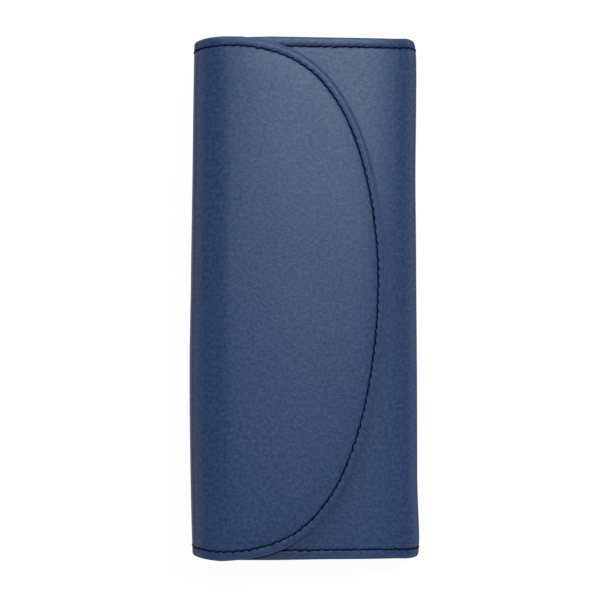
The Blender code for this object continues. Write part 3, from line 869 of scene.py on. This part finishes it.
def gusset(name, end):
    """One V-folded sheet: tab, leaf, crease, leaf, tab, closing round the side fold."""
    flat = np.arange(S_BACK + 2.5, S_LOWER - 2, 2.5)
    ss = unique_sorted([*np.linspace(S_FOLD, S_BACK, 12), *flat, S_LOWER - 1.2])
    rows = []
    for s in ss:
        x, z, nx, nz = face(s)
        share, tip = 0.0, FOLD_RADIUS
        if s > S_BACK:
            share = (WIDTH / 2 - FOLD_RADIUS - x) / (WIDTH / 2 - FOLD_RADIUS - ROWS[0, 1])
            tip = (MEET - x) * math.tan(TILT)
        crease = CREASE_FOLD + (CREASE_MOUTH - CREASE_FOLD) * share
        low = SHEET + 0.12 + GUSSET / 2
        profile = [(y, low) for y in (TAB_END, 80.4, 79.3, BEND + 0.2)]
        for t in (0.06, 0.2, 0.4, 0.6, 0.8, 0.94, 1.0):
            sag = 0.35 * math.sin(math.pi * t) * share
            profile.append((BEND + (crease - BEND) * t - sag, low + (tip - low) * t))
        rows.append([(x + nx * d, end * y, z + nz * d) for y, d in profile])
    half = np.array(rows, float)
    n, m, _ = half.shape
    # the front leaf is the back leaf mirrored in the plane halfway between the two panels
    flip = math.pi - TILT
    cos, sin = math.cos(2 * flip), math.sin(2 * flip)
    x, z = half[..., 0] - MEET, half[..., 2]
    other = np.stack([MEET + x * cos + z * sin, half[..., 1], x * sin - z * cos], -1)
    ids = np.arange(n * m).reshape(n, m)
    quads = np.stack([ids[:-1, :-1], ids[:-1, 1:], ids[1:, 1:], ids[1:, :-1]], -1).reshape(-1, 4)
    uv_half = np.stack(np.meshgrid(ss, np.linspace(0, 14, m), indexing="ij"), -1).reshape(-1, 2) / 100
    uv = np.concatenate([uv_half, uv_half * (1, -1)])
    points = np.concatenate([half.reshape(-1, 3), other.reshape(-1, 3)])
    faces = quads.tolist() + [q[::-1] for q in (quads + n * m).tolist()]
    no_rim = np.full(len(points), FAR_FROM_RIM)
    obj = add_mesh(name, points, faces, GUSSET_NAVY, uv, {"rim": no_rim})
    merge(obj)
    thick = obj.modifiers.new("thick", "SOLIDIFY")
    thick.thickness, thick.offset = GUSSET * MM, 0.0
    soft = obj.modifiers.new("soft", "SUBSURF")
    soft.levels = soft.render_levels = 1
    graph = bpy.context.evaluated_depsgraph_get()
    baked = bpy.data.meshes.new_from_object(obj.evaluated_get(graph))
    obj.modifiers.clear()
    obj.data = baked
    obj.data.name = name
    return obj


for label, end in (("top", 1), ("bottom", -1)):
    strip = gusset("gusset_" + label, end)
    finish_piece(strip, FOLD_ZONE, "gusset_leather", "back_gusset_" + label, "front_gusset_" + label)

# ---------------------------------------------------------------- the one CAD node still shown

back_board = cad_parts["back_board"].data
back_board.materials.clear()
back_board.materials.append(BOARD_GREY)

# ---------------------------------------------------------------- studio

floor_look = Nodes("paper", Roughness=0.9)
paper = floor_look.noise(floor_look.node("TexCoord").outputs["Object"], 40.0, 2.0)
tint = floor_look.mix(paper, with_alpha((0.075, 0.075, 0.076)), with_alpha((0.085, 0.085, 0.085)))
floor_look.set("Base Color", tint)
floor_look.set("Emission Color", (1, 1, 1, 1))
floor_look.set("Emission Strength", 0.955)
REACH = 4000
corners = [(x * REACH, y * REACH, -0.1) for x, y in ((-1, -1), (1, -1), (1, 1), (-1, 1))]
floor = add_mesh("floor", corners, [(0, 1, 2, 3)], floor_look.material)

world = bpy.data.worlds.new("studio")
world.use_nodes = True
sky = world.node_tree.nodes["Background"]
sky.inputs["Color"].default_value = (0.97, 0.985, 1.0, 1)
sky.inputs["Strength"].default_value = 0.25
bpy.context.scene.world = world


def softbox(name, azimuth, tilt, distance, size, watts):
    """An area light that faces the case, tilt degrees from straight overhead."""
    data = bpy.data.lights.new(name, "AREA")
    data.shape, data.size, data.size_y = "RECTANGLE", size[0], size[1]
    data.energy = watts
    light = bpy.data.objects.new(name, data)
    a, t = math.radians(azimuth), math.radians(tilt)
    toward = Vector((math.cos(a) * math.sin(t), math.sin(a) * math.sin(t), math.cos(t)))
    light.location = toward * distance
    light.rotation_euler = toward.to_track_quat("Z", "Y").to_euler()
    bpy.context.scene.collection.objects.link(light)


softbox("key", 40, 28.0, 0.85, (0.20, 0.20), 3.95)
softbox("far_fill", 98, 60, 1.5, (1.2, 0.6), 10.0)
softbox("near_fill", 270, 60, 1.5, (1.2, 0.6), 1.2)

camera_data = bpy.data.cameras.new("camera")
camera_data.lens, camera_data.sensor_width = 141.57, 36.0
camera_data.clip_end = 20.0
camera = bpy.data.objects.new("camera", camera_data)
camera.location = (0.00016, -0.00195, 0.780)
bpy.context.scene.collection.objects.link(camera)
bpy.context.scene.camera = camera
bpy.context.scene.view_settings.view_transform = "Standard"
